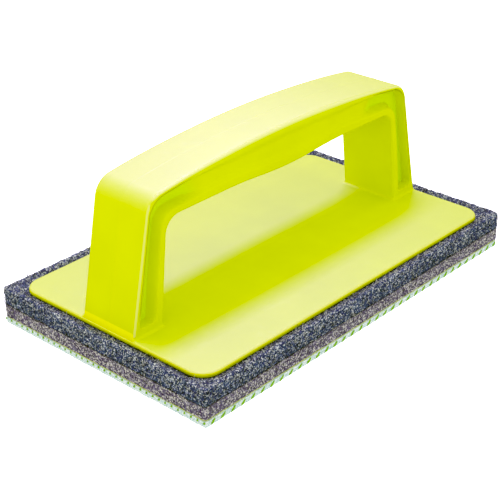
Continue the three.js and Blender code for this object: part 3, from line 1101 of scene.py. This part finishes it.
def dark_fibre():
    """Dark blue to pale grey bits, a little paler towards the top."""
    finish = Finish("dark_fibre", Roughness=0.85, Specular_IOR_Level=0.08)
    bits, hue = finish.salt(0.68 * MM)
    height = finish.node("ShaderNodeSeparateXYZ", {}, {"Vector": finish.place}, "Z")
    low, high = COARSE_LOW[2], COARSE_HIGH[2] + NAP
    paler_up = finish.range(height, low, high, -HEIGHT_LIFT, HEIGHT_LIFT)
    fine = finish.speckle(0.45 * MM, 1) * (1 - CELL_SHARE)
    mixed = bits * CELL_SHARE + fine + paler_up
    stops = [
        (0.2, screen(8, 12, 58)), (0.42, screen(34, 50, 108)), (0.62, screen(70, 84, 126)),
        (0.76, screen(156, 166, 184)), (0.86, screen(238, 242, 236)),
    ]
    tint = [(0.3, screen(72, 62, 132)), (0.5, screen(84, 98, 124)), (0.7, screen(80, 112, 104))]
    return salt_and_pepper(finish, mixed, hue, stops, tint, 0.4 * MM)


def grey_foam():
    """Warm grey bits, lighter than the fibre."""
    finish = Finish("grey_foam", Roughness=0.9, Specular_IOR_Level=0.08)
    bits, hue = finish.salt(0.66 * MM)
    mixed = bits * CELL_SHARE + finish.speckle(0.4 * MM, 1) * (1 - CELL_SHARE)
    stops = [
        (0.2, screen(26, 18, 66)), (0.42, screen(82, 76, 116)),
        (0.62, screen(118, 118, 146)), (0.8, screen(222, 220, 210)),
    ]
    tint = [
        (0.3, screen(120, 84, 130)), (0.5, screen(126, 122, 128)), (0.7, screen(140, 138, 96)),
    ]
    return salt_and_pepper(finish, mixed, hue, stops, tint, 0.3 * MM)


def loose_fibre():
    """One colour for each fibre, from its own random number."""
    finish = Finish("loose_fibre", Roughness=0.7, Specular_IOR_Level=0.1)
    stops = [
        (0.0, screen(14, 16, 44)), (0.5, screen(58, 62, 92)),
        (0.74, screen(112, 116, 130)), (0.88, screen(236, 238, 222)),
    ]
    finish.set("Base Color", finish.ramp(finish.attribute("tone"), stops))
    return finish


# %% Cloth and yarn
def white_cloth():
    """White loops with painted shade where they meet."""
    finish = Finish("white_cloth", Roughness=0.9, Specular_IOR_Level=0.2)
    loops = finish.cells(0.9 * MM)
    # The second stop is the painted shade between the loops.
    stops = [(0.2, screen(246, 252, 246)), (0.75, screen(184, 212, 208))]
    finish.set("Base Color", finish.ramp(loops, stops))
    finish.bump(1 - loops, 0.3 * MM)
    return finish


def lime_yarn():
    """Two greens in short stretches."""
    finish = Finish("lime_yarn", Roughness=0.6, Specular_IOR_Level=0.4)
    ply = finish.speckle(0.5 * MM, 2)
    stops = [(0.35, screen(96, 168, 20)), (0.65, screen(150, 206, 36))]
    finish.set("Base Color", finish.ramp(ply, stops))
    return finish


dark_fibre().dress(coarse)
loose_fibre().dress(top_fuzz, side_fuzz)
grey_foam().dress(foam)
white_cloth().dress(upper_ply, lower_ply)
lime_yarn().dress(stitches)


# %% [markdown]
# ## Films, glue and nylon
#
# Thin bond films join the pad's layers, and a film of glue holds each tape. The packed
# model already has their true shape, so those nodes are kept as they are and are only
# given a finish. Each finish is two close colours in blobs, as thin film never lies
# quite even, and the nylon's weave also tilts its normals.

# %% Bond film, adhesive and hook nylon
def mottled(name, roughness, size, first, second):
    """A finish of two close colours, in blobs of the given size."""
    finish = Finish(name, Roughness=roughness)
    blobs = finish.speckle(size)
    finish.set("Base Color", finish.ramp(blobs, [(0.4, screen(*first)), (0.6, screen(*second))]))
    return finish, blobs


film, _ = mottled("bond_film", 0.5, 1.5 * MM, (204, 226, 40), (230, 240, 90))
adhesive, _ = mottled("clear_adhesive", 0.3, 6 * MM, (226, 222, 200), (238, 234, 216))
nylon, weave = mottled("hook_nylon", 0.5, 0.6 * MM, (26, 27, 30), (42, 43, 47))
nylon.bump(weave, 0.05 * MM)
for name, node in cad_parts.items():
    if "bond_film" in name:
        film.dress(node)
    if "adhesive" in name:
        adhesive.dress(node)
for place in ("left", "centre", "right"):
    nylon.dress(bpy.data.objects["tape_band_" + place], bpy.data.objects["tape_hooks_" + place])


# %% [markdown]
# ## Floor and light
#
# The float stands in a bright white studio, and the room's even light gives every face
# its full lime. The pale look of the level faces is a reflection: a strip light hangs
# close above the handle and a little behind it, and it is set to show in reflections
# only. Where the handle hides the strip, the plate keeps its full colour, which draws
# the handle's soft band of shade. The room and the floor are left out of reflections,
# so that they don't wash that band out. Two faint lamps finish the light: a key, high
# and behind, and a warm fill on the left that is left out of reflections too. A lime
# this strong holds less blue than a screen can show, so the view cuts a little off the
# bottom of the blue channel.

# %% Studio parts
def area_light(name, place, aim, size, watts, colour):
    """A rectangular lamp at a place, turned to face the aim point."""
    light = bpy.data.lights.new(name, "AREA")
    light.shape = "RECTANGLE"
    light.size, light.size_y = size
    light.energy = watts
    light.color = colour
    lamp = bpy.data.objects.new(name, light)
    bpy.context.scene.collection.objects.link(lamp)
    lamp.location = place
    lamp.rotation_euler = (Vector(aim) - Vector(place)).to_track_quat("-Z", "Y").to_euler()
    return lamp


def grey(level):
    """A grey colour with full cover."""
    return (level, level, level, 1.0)


def white_room():
    """A room that is brightest overhead, as a ramp on the height of each direction."""
    world = bpy.data.worlds.new("white_room")
    world.use_nodes = True
    nodes, links = world.node_tree.nodes, world.node_tree.links
    direction = nodes.new("ShaderNodeTexCoord")
    split = nodes.new("ShaderNodeSeparateXYZ")
    height = nodes.new("ShaderNodeMapRange")
    height.inputs["From Min"].default_value = -1
    shade = nodes.new("ShaderNodeValToRGB")
    set_stops(shade.color_ramp, [(0, grey(0.94)), (0.5, grey(1.03)), (0.7, grey(1.06))])
    links.new(direction.outputs["Generated"], split.inputs[0])
    links.new(split.outputs["Z"], height.inputs["Value"])
    links.new(height.outputs["Result"], shade.inputs["Fac"])
    links.new(shade.outputs["Color"], nodes["Background"].inputs["Color"])
    world.cycles_visibility.glossy = False
    bpy.context.scene.world = world


def pale_floor(half):
    """A plain floor that glows white. Only the camera sees it, so it doesn't light the
    float or show in it."""
    corners = np.array([[-half, -half, 0], [half, -half, 0], [half, half, 0], [-half, half, 0]])
    floor = put_mesh("floor", corners, [np.array([[0, 1, 2, 3]])], smooth=False)
    finish = Finish("pale_floor", Roughness=0.9)
    shader = finish.shader.inputs
    shader["Base Color"].default_value = (0.85, 0.85, 0.85, 1)
    shader["Emission Color"].default_value = (1, 1, 1, 1)
    shader["Emission Strength"].default_value = 1.0
    finish.dress(floor)
    floor.visible_glossy = False
    floor.visible_diffuse = False


# %% Studio
FLOAT_CENTRE = (0, 0, 0.05)
KEY_PLACE, KEY_SIZE, KEY_COLOUR = (0, 0.37, 1.78), (0.6, 0.6), (1.0, 0.7, 0.9)
STRIP_PLACE, STRIP_SIZE, STRIP_COLOUR = (0.06, 0.094, 0.5), (0.34, 0.08), (0.48, 0.32, 1.0)
FILL_PLACE, FILL_SIZE, FILL_COLOUR = (-1.4, -0.5, 0.5), (1.0, 1.0), (1.0, 0.6, 0.3)
KEY_WATTS, STRIP_WATTS, FILL_WATTS = 1.8, 48, 0.9
below_strip = (*STRIP_PLACE[:2], 0)

pale_floor(half=3.0)
white_room()
key = area_light("key", KEY_PLACE, FLOAT_CENTRE, KEY_SIZE, KEY_WATTS, KEY_COLOUR)
sheen = area_light("sheen", STRIP_PLACE, below_strip, STRIP_SIZE, STRIP_WATTS, STRIP_COLOUR)
sheen.visible_diffuse = False
left_fill = area_light("left_fill", FILL_PLACE, FLOAT_CENTRE, FILL_SIZE, FILL_WATTS, FILL_COLOUR)
left_fill.visible_glossy = False
print("lamps", key.name, sheen.name, left_fill.name)

# %% The view
BLUE_CUT = 0.035
grade = bpy.context.scene.view_settings
grade.view_transform = "Standard"
grade.look = "None"
grade.use_curve_mapping = True
grade.curve_mapping.black_level = (0, 0, BLUE_CUT)
grade.curve_mapping.update()
print("view", grade.view_transform, "with black level", BLUE_CUT, "in blue")
